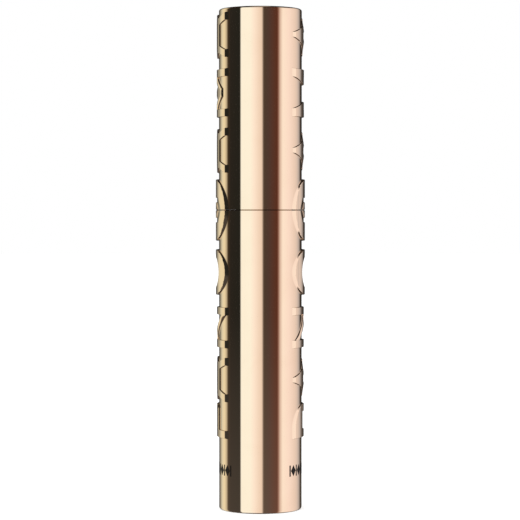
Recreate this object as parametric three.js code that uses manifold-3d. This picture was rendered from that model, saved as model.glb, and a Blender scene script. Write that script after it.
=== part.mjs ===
// A mascara tube: a bottle and a screw cap, each with a metallised outer shell that
// carries a raised ornament round its back, over a plain working pack inside. The bottle
// holds a threaded vial with a wiper in its neck; the cap holds a liner, a stem and a
// moulded brush. Millimetres, +Z up, origin at the centre of the base, smooth side at -Y.
import * as THREE from "three";
import { mergeVertices } from "three/addons/utils/BufferGeometryUtils.js";
import Module from "manifold-3d";

const wasm = await Module();
wasm.setup();

// ---- Driving dimensions ----
const TOTAL_HEIGHT = 126.8;
const BODY_RADIUS = 10.5;
const SEAM_HEIGHT = 76;
const SEAM_GAP = 0.2;
const SHELL_BORE = 9.35; // inside radius of both shells
const EDGE_ROUND = 0.6; // rounding of the cap's top edge and the bottle's foot
const ROUND_STEPS = 3;
const FACETS = 40;
const FINE_FACETS = 24; // for the small turned pieces inside

// The ornament, wrapped round the back: angles in degrees from +Y, both ways.
const REACH = 131; // where the ornament ends, to either side
const RISE = 0.55;
const BOLD_RISE = 0.8; // of the rings and the medallions
const WINDOW_FLOOR = 0.5; // height of the floor inside a medallion's opening
const ROOT_DEPTH = 0.25; // how far raised work is rooted into the wall under it
const STROKE = 2.1;
const RUNG_WIDTH = 11; // width of a crossbar, in degrees
const WINDOW_EDGE = -108.5; // where the first crossbar of a ladder faces the front
const ROUNDEL_PITCH = 88; // from one ring or medallion to the next, in degrees
const ROUNDEL_REACH = 43; // half the width of a ring or a medallion, in degrees

// The neck, the threads and the stops.
const NECK_RADIUS = 6.15;
const NECK_BORE = 5;
const NECK_TOP = 90;
const THREAD_LEAD = 2.5;
const THREAD_STEP = 15; // degrees between the sections of a thread
const THREAD_BASE = 1;
const THREAD_CREST = 0.5;
const NECK_CREST_RADIUS = 6.9;
const LINER_BORE = 7.5;
const LINER_CREST_RADIUS = 7.1;
const SHOULDER_TOP = 75.5;
const SEAM_FLANGE = 10.3; // radius of the shoulder ring's thin flange between the shells
const FLANGE_HALF = 0.06; // half its thickness
const LINER_FOOT = 76.2;

// The wand.
const STEM_RADIUS = 1.9;
const STEM_FOOT = 36;
const PIN_RADIUS = 0.85;
const PIN_LENGTH = 10;
const BRUSH_TIP = 8;
const BRUSH_RINGS = 13;
const SPIKES_PER_RING = 8;
const CAP_SHOULDER = 92; // underside of the liner's roof over the neck

const rad = THREE.MathUtils.degToRad;

// ---- Solids and geometries ----

function toSolid(geometry) {
  const bare = geometry.clone();
  bare.deleteAttribute("normal");
  bare.deleteAttribute("uv");
  const merged = mergeVertices(bare, 1e-3);
  const vertProperties = merged.attributes.position.array;
  const triVerts = new Uint32Array(merged.index.array);
  return new wasm.Manifold(new wasm.Mesh({ numProp: 3, vertProperties, triVerts }));
}

function toGeometry(solid) {
  const mesh = solid.getMesh();
  const geometry = new THREE.BufferGeometry();
  geometry.setAttribute("position", new THREE.BufferAttribute(mesh.vertProperties, 3));
  geometry.setIndex(new THREE.BufferAttribute(mesh.triVerts, 1));
  return geometry.toNonIndexed();
}

function joined(first, ...others) {
  return others.reduce((whole, piece) => whole.add(piece), first);
}

// A profile of [radius, height] points turned about Z.
function turned(profile, facets = FACETS) {
  const points = profile.map(([r, z]) => new THREE.Vector2(r, z));
  return new THREE.LatheGeometry(points, facets).rotateX(Math.PI / 2);
}

// The points of a quarter-round edge, from one angle to another about its centre.
function rounded(centreRadius, centreHeight, fromDegrees, toDegrees) {
  return Array.from({ length: ROUND_STEPS + 1 }, (_, i) => {
    const turn = rad(fromDegrees + ((toDegrees - fromDegrees) * i) / ROUND_STEPS);
    return [
      centreRadius + EDGE_ROUND * Math.cos(turn),
      centreHeight + EDGE_ROUND * Math.sin(turn),
    ];
  });
}

// A point at an angle from +Y, towards +X, at a radius and a height.
function around(degrees, radius, height) {
  return [radius * Math.sin(rad(degrees)), radius * Math.cos(rad(degrees)), height];
}

// A closed skin over four-cornered sections, one after another, with both ends capped.
function skinned(sections) {
  const triangles = [];
  const quad = (a, b, c, d) => triangles.push(a, b, c, a, c, d);
  for (let i = 0; i + 1 < sections.length; i++)
    for (let k = 0; k < 4; k++) {
      const next = (k + 1) % 4;
      quad(sections[i][k], sections[i][next], sections[i + 1][next], sections[i + 1][k]);
    }
  const last = sections[sections.length - 1];
  quad(sections[0][3], sections[0][2], sections[0][1], sections[0][0]);
  quad(last[0], last[1], last[2], last[3]);
  const geometry = new THREE.BufferGeometry();
  geometry.setAttribute("position", new THREE.Float32BufferAttribute(triangles.flat(), 3));
  return toSolid(geometry);
}

// The angles at which a band is cut: where the wall's facets meet, and at its own corners.
function cutAngles(corners) {
  const facet = 360 / FACETS;
  const from = Math.min(...corners);
  const to = Math.max(...corners);
  const angles = [...corners];
  for (let k = Math.ceil(from / facet); k * facet < to; k++)
    if (angles.every((angle) => Math.abs(angle - k * facet) > 0.5)) angles.push(k * facet);
  return angles.sort((a, b) => a - b);
}

// A band wrapped round the wall, with corners at the given angles. Its lower and upper
// edges are heights, as functions of the angle.
function band(corners, low, high, inner, outer) {
  return skinned(
    cutAngles(corners).map((a) => [
      around(a, inner, low(a)),
      around(a, outer, low(a)),
      around(a, outer, high(a)),
      around(a, inner, high(a)),
    ]),
  );
}

// ---- The raised ornament ----

function raised(corners, low, high, rise = RISE) {
  return band(corners, low, high, BODY_RADIUS - ROOT_DEPTH, BODY_RADIUS + rise);
}

// A stroke of even height along a line through [angle, height] points.
function stroke(points) {
  const line = (angle) => {
    const next = Math.max(1, points.findIndex(([a]) => a >= angle - 1e-9));
    const [[a0, z0], [a1, z1]] = [points[next - 1], points[next]];
    return z0 + ((z1 - z0) * (angle - a0)) / (a1 - a0);
  };
  const corners = points.map(([a]) => a);
  return raised(corners, (a) => line(a) - STROKE / 2, (a) => line(a) + STROKE / 2);
}

function bar(height, from = -REACH, to = REACH) {
  const points = [
    [from, height],
    [to, height],
  ];
  return stroke(points);
}

function rung(angle, low, high, width = RUNG_WIDTH) {
  return raised([angle - width / 2, angle + width / 2], () => low, () => high);
}

// The same line above and below a middle height.
function mirrored(points, middle) {
  return [1, -1].map((side) => stroke(points.map(([a, z]) => [a, middle + side * z])));
}

// A lozenge-shaped boss.
function lozenge(angle, height, halfAngle, halfHeight, rise = RISE) {
  const edge = (a) => halfHeight * (1 - Math.abs(a - angle) / halfAngle) + 0.02;
  const corners = [angle - halfAngle, angle, angle + halfAngle];
  return raised(corners, (a) => height - edge(a), (a) => height + edge(a), rise);
}

// A ladder of six-sided windows, its rails waisted at every rung and drawn in at the
// right end to a solid point. The first rung is a broad one.
function ladder(middle, height) {
  const wide = height / 2 - STROKE / 2;
  const waist = wide - 1.3;
  const bay = 19; // degrees from a waist to the widest place
  const rungs = [0, 1, 2, 3, 4].map((k) => -103 + k * 2 * bay);
  const rail = rungs.flatMap((a) => [
    [a, waist],
    [a + bay, wide],
  ]);
  const point = (a) => 2.4 - (a - 97) * 0.054; // half the height of the solid point
  const rails = [[-REACH, wide], [-REACH + 7, wide], ...rail, [97, 1.4], [112, 0.56]];
  const broad = 22;
  return [
    ...mirrored(rails, middle),
    rung(WINDOW_EDGE + broad / 2, middle - waist, middle + waist, broad),
    ...rungs.slice(1).map((a) => rung(a, middle - waist, middle + waist)),
    raised([95, REACH - 0.5], (a) => middle - point(a), (a) => middle + point(a)),
  ];
}

// Two bars with lines crossing between them, a boss in the crossing at the left end, and
// a gusset under each bar at the right end.
function trellis(middle, height) {
  const spread = height / 2 - STROKE / 2;
  const crossing = [-118, -80, -42, -4, 34, 72].map((a, k) => [a, k % 2 ? spread : 0]);
  const gusset = (a) => spread - STROKE / 2 - (REACH - a) * 0.05;
  const ends = [91, REACH - 0.5];
  return [
    bar(middle - spread),
    bar(middle + spread),
    ...mirrored(crossing, middle),
    lozenge(-100, middle, 16, 1.9),
    raised(ends, (a) => middle + gusset(a), () => middle + spread),
    raised(ends, () => middle - spread, (a) => middle - gusset(a)),
  ];
}

// Two bars with one line running up and down between them.
function truss(middle, height) {
  const spread = height / 2 - STROKE / 2;
  const zigzag = [-125, -75, -25, 25, 75, 125].map((a, k) => [
    a,
    middle + (k % 2 ? -spread : spread),
  ]);
  return [bar(middle - spread), bar(middle + spread), stroke(zigzag)];
}

// The lowest piece: a frame with its foot running on at the left, and a broad right end
// with its upper corner rounded off.
function plinth(middle, height) {
  const spread = height / 2 - STROKE / 2;
  const end = 100; // where the broad end begins
  const corner = (a) => 6 * (1 - Math.sqrt(Math.max(0, 1 - ((a - end) / (REACH - end)) ** 2)));
  return [
    bar(middle - spread),
    bar(middle + spread, -REACH + 31, end + 1),
    rung(-REACH + 36, middle - spread, middle + spread, 18),
    rung(4, middle - spread, middle + spread),
    raised(
      [end, 109, 117, 124, 128, REACH],
      () => middle - spread,
      (a) => middle + height / 2 - 0.02 - corner(a),
    ),
  ];
}

// A bold oval plate in two halves, round an opening given by its own half-height.
function roundel(centre, middle, halfHeight, opening) {
  const corners = [-1, -0.94, -0.8, -0.6, -0.4, -0.2, 0, 0.2, 0.4, 0.6, 0.8, 0.94, 1];
  const angles = corners.map((c) => centre + c * ROUNDEL_REACH);
  const off = (a) => Math.abs(a - centre);
  const outer = (a) =>
    halfHeight * Math.sqrt(Math.max(0, 1 - (off(a) / ROUNDEL_REACH) ** 2)) + 0.02;
  const inner = (a) => opening(off(a)) - 0.02;
  return [
    raised(angles, (a) => middle + inner(a), (a) => middle + outer(a), BOLD_RISE),
    raised(angles, (a) => middle - outer(a), (a) => middle - inner(a), BOLD_RISE),
  ];
}

// Three rings side by side, with tall oval openings.
function rings(middle, halfHeight) {
  const opening = (off) => 3.7 * Math.sqrt(Math.max(0, 1 - (off / 17) ** 2));
  return [-1, 0, 1].flatMap((k) => roundel(k * ROUNDEL_PITCH, middle, halfHeight, opening));
}

// Three round medallions side by side, each with a lozenge in a six-sided recess.
function medallions(middle, halfHeight) {
  const opening = (off) => THREE.MathUtils.clamp((25 - off) / 3, 0, 3);
  return [-1, 0, 1].flatMap((k) => {
    const centre = k * ROUNDEL_PITCH;
    const half = (a) => opening(Math.abs(a - centre)) + 0.35; // runs in under the plate
    const corners = [-25, -16, 0, 16, 25].map((off) => centre + off);
    return [
      ...roundel(centre, middle, halfHeight, opening),
      raised(corners, (a) => middle - half(a), (a) => middle + half(a), WINDOW_FLOOR),
      lozenge(centre, middle, 14, 2.1, BOLD_RISE),
    ];
  });
}

// ---- The bottle ----

const medallionRow = medallions(SEAM_HEIGHT, 7.85);

// Everything between two heights, to share the medallions between cap and bottle.
function slab(low, high) {
  const box = new THREE.BoxGeometry(40, 40, high - low);
  return toSolid(box.translate(0, 0, (low + high) / 2));
}

function bottleShell() {
  const rim = SEAM_HEIGHT - SEAM_GAP / 2;
  const wall = toSolid(
    turned([
      [0, 0.4],
      [8.15, 0.4],
      [8.15, 0],
      ...rounded(BODY_RADIUS - EDGE_ROUND, EDGE_ROUND, -90, 0),
      [BODY_RADIUS, rim],
      [SHELL_BORE, rim],
      [SHELL_BORE, 5.6],
      [8.95, 5],
      [8.95, 1.6],
      [0, 1.6],
    ]),
  );
  const ornament = [
    ...plinth(22.65, 8.6),
    ...ladder(33.25, 11.3),
    ...truss(46.35, 10.4),
    ...rings(60.25, 5.85),
    ...medallionRow.map((piece) => piece.intersect(slab(60, rim))),
  ];
  return toGeometry(joined(wall, ...ornament));
}

function baseLabel() {
  return turned([
    [0, 0.26],
    [8, 0.26],
    [8, 0.38],
    [0, 0.38],
  ]);
}

// A ridge wound round the neck, or inside the liner, rising as it turns anticlockwise.
function threadRidge(root, crest, startHeight, turns, startAngle) {
  const steps = Math.round((turns * 360) / THREAD_STEP);
  const sections = [];
  for (let i = 0; i <= steps; i++) {
    const turn = i * THREAD_STEP;
    const z = startHeight + (THREAD_LEAD * turn) / 360;
    const fade = Math.min(1, (i + 0.3) / 2, (steps - i + 0.3) / 2); // run-out at both ends
    const tip = root + (crest - root) * fade;
    const corners = [
      around(startAngle - turn, root, z - THREAD_BASE / 2),
      around(startAngle - turn, tip, z - THREAD_CREST / 2),
      around(startAngle - turn, tip, z + THREAD_CREST / 2),
      around(startAngle - turn, root, z + THREAD_BASE / 2),
    ];
    sections.push(crest > root ? corners.reverse() : corners);
  }
  return skinned(sections);
}

function productVial() {
  const body = toSolid(
    turned([
      [0, 1.9],
      [8.3, 1.9],
      [8.8, 2.4],
      [8.8, 71.6],
      [9.2, 72],
      [9.2, 73.4],
      [NECK_RADIUS, 73.4],
      [NECK_RADIUS, NECK_TOP],
      [NECK_BORE, NECK_TOP],
      [NECK_BORE, 71.8],
      [7.7, 69],
      [7.7, 3.9],
      [7.2, 3.4],
      [0, 3.4],
    ]),
  );
  const root = NECK_RADIUS - ROOT_DEPTH;
  return toGeometry(body.add(threadRidge(root, NECK_CREST_RADIUS, 79.5, 2, 0)));
}

// The ring that covers the vial's shoulder, with the lug that stops the cap and a thin
// flange out over the bottle's rim, which shows as the dark line at the seam.
function shoulderRing() {
  const ring = toSolid(
    turned([
      [6.45, 73.45],
      [9.2, 73.45],
      [9.2, SEAM_HEIGHT - FLANGE_HALF],
      [SEAM_FLANGE, SEAM_HEIGHT - FLANGE_HALF],
      [SEAM_FLANGE, SEAM_HEIGHT + FLANGE_HALF],
      [8.85, SEAM_HEIGHT + FLANGE_HALF],
      [8.85, SHOULDER_TOP],
      [6.75, SHOULDER_TOP],
      [6.45, 75.2],
      [6.45, 73.45],
    ]),
  );
  const foot = () => SHOULDER_TOP - 0.3;
  const top = () => SHOULDER_TOP + 0.6;
  const lug = band([0, 18], foot, top, 7.7, 8.6);
  return toGeometry(ring.add(lug));
}

// The soft sleeve in the neck; its lip takes the surplus off the stem and the brush.
function wiper() {
  return turned(
    [
      [4.97, NECK_TOP + 0.02],
      [4.97, 80.5],
      [2.75, 77.2],
      [2.75, 76.4],
      [2.15, 76.4],
      [2.15, 77.4],
      [4.35, 81.1],
      [4.35, 90.4],
      [4.6, 90.8],
      [6.1, 90.8],
      [6.1, NECK_TOP + 0.02],
      [4.97, NECK_TOP + 0.02],
    ].reverse(),
    FINE_FACETS,
  );
}

// The paste, standing in the vial with the hollow that the brush leaves in it.
function formula() {
  return turned(
    [
      [0, 3.45],
      [7.15, 3.45],
      [7.62, 3.95],
      [7.62, 66.3],
      [4.7, 65.4],
      [4.5, 65],
      [4.5, 8],
      [3.6, 7.1],
      [0, 7.1],
    ],
    FINE_FACETS,
  );
}

// ---- The cap ----

function capShell() {
  const rim = SEAM_HEIGHT + SEAM_GAP / 2;
  const roof = TOTAL_HEIGHT - 1.6;
  const wall = toSolid(
    turned([
      [0, roof],
      [SHELL_BORE - 0.5, roof],
      [SHELL_BORE, roof - 0.5],
      [SHELL_BORE, rim],
      [BODY_RADIUS, rim],
      ...rounded(BODY_RADIUS - EDGE_ROUND, TOTAL_HEIGHT - EDGE_ROUND, 0, 90),
      [0, TOTAL_HEIGHT],
    ]),
  );
  const ornament = [
    ...medallionRow.map((piece) => piece.intersect(slab(rim, 90))),
    ...ladder(91, 11.4),
    ...trellis(105.5, 12.2),
    ...ladder(120, 11.4),
  ];
  return toGeometry(joined(wall, ...ornament));
}

function capLiner() {
  const bossRadius = 4.6;
  const socket = 3.05;
  const skirt = 8.7;
  const body = toSolid(
    turned([
      [0, 105],
      [socket, 105],
      [socket, CAP_SHOULDER],
      [LINER_BORE, CAP_SHOULDER],
      [LINER_BORE, LINER_FOOT],
      [9.2, LINER_FOOT],
      [9.2, 77.6],
      [skirt, 77.9],
      [skirt, 93.2],
      [bossRadius, 94],
      [bossRadius, 106],
      [4.2, 106.4],
      [0, 106.4],
    ]),
  );
  const crestRoot = LINER_BORE + ROOT_DEPTH;
  const thread = threadRidge(crestRoot, LINER_CREST_RADIUS, 80.65, 1.5, 0);
  const tabFoot = () => LINER_FOOT - 0.55;
  const tabTop = () => LINER_FOOT + 0.3;
  const tab = band([-18.5, -0.5], tabFoot, tabTop, 7.7, 8.6);
  const ribs = [0, 45, 90, 135, 180, 225, 270, 315].map((angle) => {
    const tall = angle % 90 === 0; // every second rib runs in to the boss
    const reach = tall ? [bossRadius - 0.4, 103] : [skirt - 0.3, 93];
    const depth = 9.25 - reach[0];
    const height = reach[1] - 78.4;
    const rib = new THREE.BoxGeometry(1, depth, tall ? 103 - 92.9 : height);
    rib.translate(0, reach[0] + depth / 2, tall ? (103 + 92.9) / 2 : 78.4 + height / 2);
    return toSolid(rib.rotateZ(-rad(angle)));
  });
  return toGeometry(joined(body, thread, tab, ...ribs));
}

function sealWasher() {
  return turned(
    [
      [4.6, 90.9],
      [7.25, 90.9],
      [7.25, 91.7],
      [4.6, 91.7],
      [4.6, 90.9],
    ],
    FINE_FACETS,
  );
}

function wandStem() {
  return turned(
    [
      [0, STEM_FOOT - PIN_LENGTH],
      [PIN_RADIUS, STEM_FOOT - PIN_LENGTH],
      [PIN_RADIUS, STEM_FOOT],
      [STEM_RADIUS, STEM_FOOT],
      [STEM_RADIUS, 91],
      [4.4, 91.2],
      [4.4, CAP_SHOULDER - 0.05],
      [3, CAP_SHOULDER - 0.05],
      [3, 103.4],
      [2.4, 104.2],
      [0, 104.2],
    ],
    FINE_FACETS,
  );
}

// How far the bristles reach at a height: a slim tip, full in the middle.
function bristleReach(height) {
  const along = (height - BRUSH_TIP) / (STEM_FOOT - BRUSH_TIP);
  return 2.7 + 1.4 * Math.sin(Math.PI * Math.min(1, 0.12 + along * 0.82)) ** 0.8;
}

function brush() {
  const core = toSolid(
    turned(
      [
        [0, BRUSH_TIP],
        [0.8, BRUSH_TIP + 0.3],
        [1.25, BRUSH_TIP + 1.6],
        [1.6, 22],
        [1.75, 34],
        [STEM_RADIUS, STEM_FOOT - 0.05],
        [PIN_RADIUS + 0.05, STEM_FOOT - 0.05],
        [PIN_RADIUS + 0.05, STEM_FOOT - PIN_LENGTH - 0.1],
        [0, STEM_FOOT - PIN_LENGTH - 0.1],
      ],
      16,
    ),
  );
  const spikes = [];
  for (let ring = 0; ring < BRUSH_RINGS; ring++) {
    const height = 10.4 + (ring * 22.8) / (BRUSH_RINGS - 1);
    for (let k = 0; k < SPIKES_PER_RING; k++) {
      const angle = ((k + (ring % 2) / 2) * 360) / SPIKES_PER_RING;
      const length = bristleReach(height) - 0.95;
      const spike = new THREE.ConeGeometry(0.4, length, 4, 1);
      spike.translate(0, 0.95 + length / 2, 0);
      spikes.push(toSolid(spike.rotateZ(-rad(angle)).translate(0, 0, height)));
    }
  }
  return toGeometry(joined(core, ...spikes));
}

// ---- Materials and the assembly ----

const finish = (color, roughness, metalness) =>
  new THREE.MeshStandardMaterial({ color, roughness, metalness });

const roseGold = finish(0xf0cfae, 0.12, 1);
const blackPlastic = finish(0x141414, 0.4, 0);
const naturalPlastic = finish(0xd9d6cf, 0.5, 0);
const softElastomer = finish(0x0c0c0d, 0.55, 0);
const paste = finish(0x050505, 0.25, 0);
const foam = finish(0xe8e6e0, 0.8, 0);
const paper = finish(0x1b1a19, 0.6, 0);

const part = new THREE.Group();

function place(name, geometry, material) {
  const mesh = new THREE.Mesh(geometry, material);
  mesh.name = name;
  part.add(mesh);
}

place("bottle_shell", bottleShell(), roseGold);
place("base_label", baseLabel(), paper);
place("product_vial", productVial(), blackPlastic);
place("shoulder_ring", shoulderRing(), blackPlastic);
place("neck_wiper", wiper(), naturalPlastic);
place("mascara_formula", formula(), paste);
place("cap_shell", capShell(), roseGold);
place("cap_liner", capLiner(), blackPlastic);
place("seal_washer", sealWasher(), foam);
place("wand_stem", wandStem(), blackPlastic);
place("brush", brush(), softElastomer);

export default part;
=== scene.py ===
# %% [markdown]
# # A mascara tube in mirror rose gold
#
# The real object is a screw-capped tube. Two metallised plastic shells, one on the bottle
# and one on the cap, meet at a thin seam, and a raised geometric ornament runs round the
# back of both. Hidden inside are a threaded vial with a wiper in its neck, the paste, and
# a wand with a moulded brush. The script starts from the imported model, whose bodies move
# on their joints, and replaces every plain solid with a finely made piece on the same body.

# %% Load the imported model
import math

import bpy
import numpy as np
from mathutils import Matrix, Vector
from mathutils.geometry import delaunay_2d_cdt


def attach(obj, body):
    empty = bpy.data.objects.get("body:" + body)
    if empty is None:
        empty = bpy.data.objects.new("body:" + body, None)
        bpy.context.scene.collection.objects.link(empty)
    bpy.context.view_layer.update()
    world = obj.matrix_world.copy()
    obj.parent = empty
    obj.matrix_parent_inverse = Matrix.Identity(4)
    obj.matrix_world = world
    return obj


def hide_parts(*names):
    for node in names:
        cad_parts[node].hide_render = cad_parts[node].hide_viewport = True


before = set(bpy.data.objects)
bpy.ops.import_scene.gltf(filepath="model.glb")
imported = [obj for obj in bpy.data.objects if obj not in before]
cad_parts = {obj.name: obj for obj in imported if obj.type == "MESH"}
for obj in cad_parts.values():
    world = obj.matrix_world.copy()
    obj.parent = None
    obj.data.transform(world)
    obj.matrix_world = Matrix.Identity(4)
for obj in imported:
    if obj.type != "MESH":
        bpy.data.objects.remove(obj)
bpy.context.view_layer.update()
MM = 0.001
print("solids in the frame:", ", ".join(sorted(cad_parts)))

# %% [markdown]
# ## Camera
#
# A long lens far away keeps the tube's sides nearly parallel. It stands at the height of
# the seam, so the seam shows as a straight line while the top and the foot curve slightly,
# and looks down a little to take in the whole tube.

# %% Place the camera
CAMERA_PLACE = Vector((-0.0001, -0.525, 0.076))
CAMERA_AIM = Vector((-0.0001, 0, 0.0633))

camera = bpy.data.objects.new("studio_camera", bpy.data.cameras.new("studio_camera"))
camera.location = CAMERA_PLACE
camera.rotation_euler = (CAMERA_AIM - CAMERA_PLACE).to_track_quat("-Z", "Y").to_euler()
camera.data.sensor_width = 36
camera.data.lens = 143
camera.data.clip_start = 0.01
bpy.context.collection.objects.link(camera)
bpy.context.scene.camera = camera
print("camera", round((CAMERA_AIM - CAMERA_PLACE).length, 3), "m from the tube")

# %% [markdown]
# ## Node helpers
#
# Materials, Geometry Nodes and the studio are all node trees. Two short helpers keep the
# later cells readable: `add_node` makes a node, sets it up and wires it, and `calc` does
# one step of arithmetic.


# %% Helpers for node trees
def add_node(tree, kind, wires=None, **settings):
    node = tree.nodes.new(kind)
    for name, value in settings.items():
        setattr(node, name, value)
    for key, value in (wires or {}).items():
        if isinstance(value, bpy.types.NodeSocket):
            tree.links.new(value, node.inputs[key])
        else:
            node.inputs[key].default_value = value
    return node


def calc(tree, operation, first, second=0.0):
    kind = "ShaderNodeMath"
    return add_node(tree, kind, {0: first, 1: second}, operation=operation).outputs[0]


# %% [markdown]
# ## The studio
#
# A mirror shows nothing but the room round it, so the look of this tube is mostly its
# studio: tall white panels with black and brown flags between them. They are painted on
# the world by compass direction, as stops of one colour ramp. Only glossy rays see them.
# Soft plain white lights everything else, and the camera sees a clean white backdrop.

# %% Paint the panels and flags round the tube
PANELS = [  # degrees from the front towards the right, and the colour seen there
    (-180, (0.02, 0.018, 0.016)),
    (-158, (0.08, 0.08, 0.065)),
    (-148, (0.29, 0.30, 0.25)),
    (-133, (0.80, 0.84, 0.69)),
    (-120, (0.92, 0.93, 0.70)),
    (-110, (0.62, 0.61, 0.48)),
    (-102.5, (0.06, 0.046, 0.03)),
    (-92, (0.024, 0.024, 0.022)),
    (-58, (0.019, 0.022, 0.02)),
    (-55, (1.07, 1.24, 1.28)),
    (-28, (1.07, 1.24, 1.27)),
    (-17, (1.07, 1.11, 1.14)),
    (0, (0.93, 0.90, 0.87)),
    (3.4, (0.91, 0.87, 0.84)),
    (8.6, (0.12, 0.095, 0.08)),
    (11.5, (0.08, 0.062, 0.05)),
    (22, (0.085, 0.056, 0.052)),
    (48, (0.115, 0.042, 0.026)),
    (52, (0.36, 0.23, 0.20)),
    (57, (0.77, 0.69, 0.68)),
    (65, (1.07, 1.10, 1.12)),
    (86, (1.04, 1.01, 1.06)),
    (111, (0.89, 0.85, 0.86)),
    (122, (0.77, 0.75, 0.77)),
    (135, (0.50, 0.51, 0.55)),
    (147, (0.06, 0.052, 0.045)),
    (156, (0.02, 0.018, 0.016)),
    (180, (0.02, 0.018, 0.016)),
]
ROOM_LIGHT = 1.25

world = bpy.data.worlds.new("studio")
bpy.context.scene.world = world
world.use_nodes = True
sky = world.node_tree
sky.nodes.clear()
direction = add_node(sky, "ShaderNodeTexCoord").outputs["Generated"]
compass = add_node(sky, "ShaderNodeSeparateXYZ", {"Vector": direction}).outputs
backwards = calc(sky, "MULTIPLY", compass["Y"], -1.0)
bearing = calc(sky, "ARCTAN2", compass["X"], backwards)
turn = calc(sky, "ADD", calc(sky, "DIVIDE", bearing, 2 * math.pi), 0.5)
panels = add_node(sky, "ShaderNodeValToRGB", {"Fac": turn})
for index, (degrees, colour) in enumerate(PANELS):
    place = degrees / 360 + 0.5
    stops = panels.color_ramp.elements
    stop = stops[index] if index < 2 else stops.new(place)
    stop.position = place
    stop.color = (*colour, 1)
print("studio panels:", len(PANELS))

# %% [markdown]
# The flags pale a little towards the floor, where the table's white creeps into them. The
# panels stop short of the dark ceiling, so every rounded edge gets a fine dark outline; a
# soft box hangs overhead. Low down, the stripes give way to a dim room.

# %% Finish the studio
def blend(tree, factor, first, second):
    mix = add_node(tree, "ShaderNodeMix", data_type="RGBA")
    tree.links.new(factor, mix.inputs["Factor"])
    slots = [socket for socket in mix.inputs if socket.type == "RGBA"]
    for slot, colour in zip(slots, (first, second)):
        if isinstance(colour, bpy.types.NodeSocket):
            tree.links.new(colour, slot)
        else:
            slot.default_value = (*colour, 1)
    return [socket for socket in mix.outputs if socket.type == "RGBA"][0]


def between(tree, value, low, high, most=1.0):
    wires = {"Value": value, "From Min": low, "From Max": high, "To Max": most}
    return add_node(tree, "ShaderNodeMapRange", wires).outputs[0]


steepness = compass["Z"]
GLOOM = (0.03, 0.024, 0.02)
LOW_ROOM = (0.10, 0.085, 0.075)
room = blend(sky, between(sky, steepness, -0.05, -0.15, 0.05), panels.outputs[0], (1, 0.93, 0.88))
room = blend(sky, between(sky, steepness, 0.42, 0.62), room, GLOOM)
room = blend(sky, between(sky, steepness, 0.955, 0.985), room, (0.8, 0.8, 0.8))
room = blend(sky, between(sky, steepness, -0.45, -0.6), room, LOW_ROOM)
room = blend(sky, between(sky, steepness, -0.74, -0.84), room, GLOOM)
mirrored_room = add_node(sky, "ShaderNodeBackground", {"Color": room})
soft_room = add_node(
    sky, "ShaderNodeBackground", {"Color": (1, 1, 1, 1), "Strength": ROOM_LIGHT}
)
backdrop = add_node(
    sky, "ShaderNodeBackground", {"Color": (1, 1, 1, 1), "Strength": 1.0}
)
rays = add_node(sky, "ShaderNodeLightPath").outputs
lit = add_node(
    sky,
    "ShaderNodeMixShader",
    {0: rays["Is Glossy Ray"], 1: soft_room.outputs[0], 2: mirrored_room.outputs[0]},
)
seen = add_node(
    sky,
    "ShaderNodeMixShader",
    {0: rays["Is Camera Ray"], 1: lit.outputs[0], 2: backdrop.outputs[0]},
)
add_node(sky, "ShaderNodeOutputWorld", {"Surface": seen.outputs[0]})
bpy.context.scene.view_settings.view_transform = "Standard"
print("studio wired with", len(sky.nodes), "nodes")

# %% [markdown]
# ## Floor and key light
#
# The floor is a wide white sheet. It is hidden from glossy rays, so that the studio's
# stripes run on down to the foot of the tube as they would over a glossy table. One soft
# light gives the black plastics a direction; the mirror doesn't show it either.


# %% Lay the floor and hang the light
def floor_sheet(half_width=3.0):
    mesh = bpy.data.meshes.new("studio_floor")
    corners = [(-1, -1), (1, -1), (1, 1), (-1, 1)]
    points = [(x * half_width, y * half_width, 0) for x, y in corners]
    mesh.from_pydata(points, [], [(0, 1, 2, 3)])
    sheet = bpy.data.objects.new("studio_floor", mesh)
    bpy.context.collection.objects.link(sheet)
    return sheet


white_floor = bpy.data.materials.new("white_floor")
white_floor.use_nodes = True
floor_shader = white_floor.node_tree.nodes["Principled BSDF"]
floor_shader.inputs["Base Color"].default_value = (0.62, 0.62, 0.62, 1)
floor_shader.inputs["Roughness"].default_value = 0.9
floor_shader.inputs["Specular IOR Level"].default_value = 0
floor_shader.inputs["Emission Color"].default_value = (1, 1, 1, 1)
floor_shader.inputs["Emission Strength"].default_value = 0.45
floor = floor_sheet()
floor.data.materials.append(white_floor)
floor.visible_glossy = False
floor.visible_diffuse = False

key = bpy.data.objects.new("key_light", bpy.data.lights.new("key_light", "AREA"))
key.data.size = 0.5
key.data.energy = 2.5
key.location = (-0.5, -0.6, 0.55)
key.rotation_euler = (CAMERA_AIM - key.location).to_track_quat("-Z", "Y").to_euler()
key.visible_glossy = False
bpy.context.collection.objects.link(key)
print("floor and key light in place")

# %% [markdown]
# ## Finishes
#
# Two effects are shared by several finishes, so each is a node group. `handling_marks`
# gives the faint smudges and hairlines that any handled surface has, as a roughness.
# `moulded_grain` gives the fine unevenness of moulded plastic, as a normal. Both take
# Object coordinates, so they stay put on the piece.


# %% Shared effect: handling marks
def new_group(name, sockets_in, sockets_out):
    group = bpy.data.node_groups.new(name, "ShaderNodeTree")
    for label, kind, value in sockets_in:
        socket = group.interface.new_socket(label, in_out="INPUT", socket_type=kind)
        if value is not None:
            socket.default_value = value
    for label, kind in sockets_out:
        group.interface.new_socket(label, in_out="OUTPUT", socket_type=kind)
    return group


FLOAT, VECTOR = "NodeSocketFloat", "NodeSocketVector"

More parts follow.
